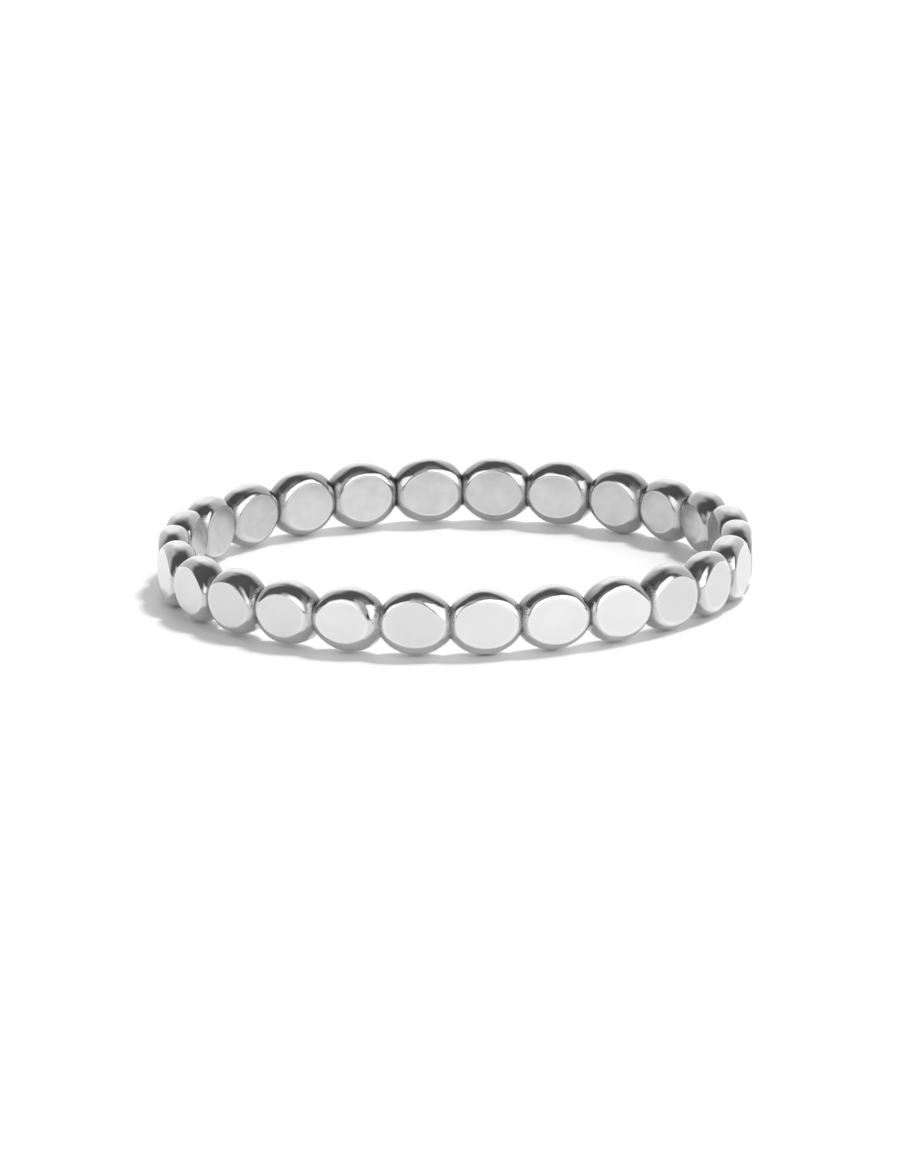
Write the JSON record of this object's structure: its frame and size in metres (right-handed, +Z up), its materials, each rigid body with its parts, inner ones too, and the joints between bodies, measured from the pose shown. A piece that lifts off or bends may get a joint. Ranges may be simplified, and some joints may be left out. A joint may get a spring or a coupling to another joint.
{
  "type": "stackable ring",
  "caption": "Narrow stacking finger ring in polished white metal: one closed row of small beads, flattened outside and inside, with rounded rims and a round bore.",
  "frame": {"origin": "on the ring's axis, on the surface that the ring lies on", "axes": "+Z up along the finger's axis; -Y is the front, where a joint between two beads faces"},
  "size_m": [0.0194, 0.0194, 0.0022],
  "materials": {
    "white_metal": "mirror polished, with fine hairlines on the flats and a rough solder skin in the joints between the beads"
  },
  "bodies": {
    "root": {"beaded_band": "white_metal"}
  },
  "joints": []
}
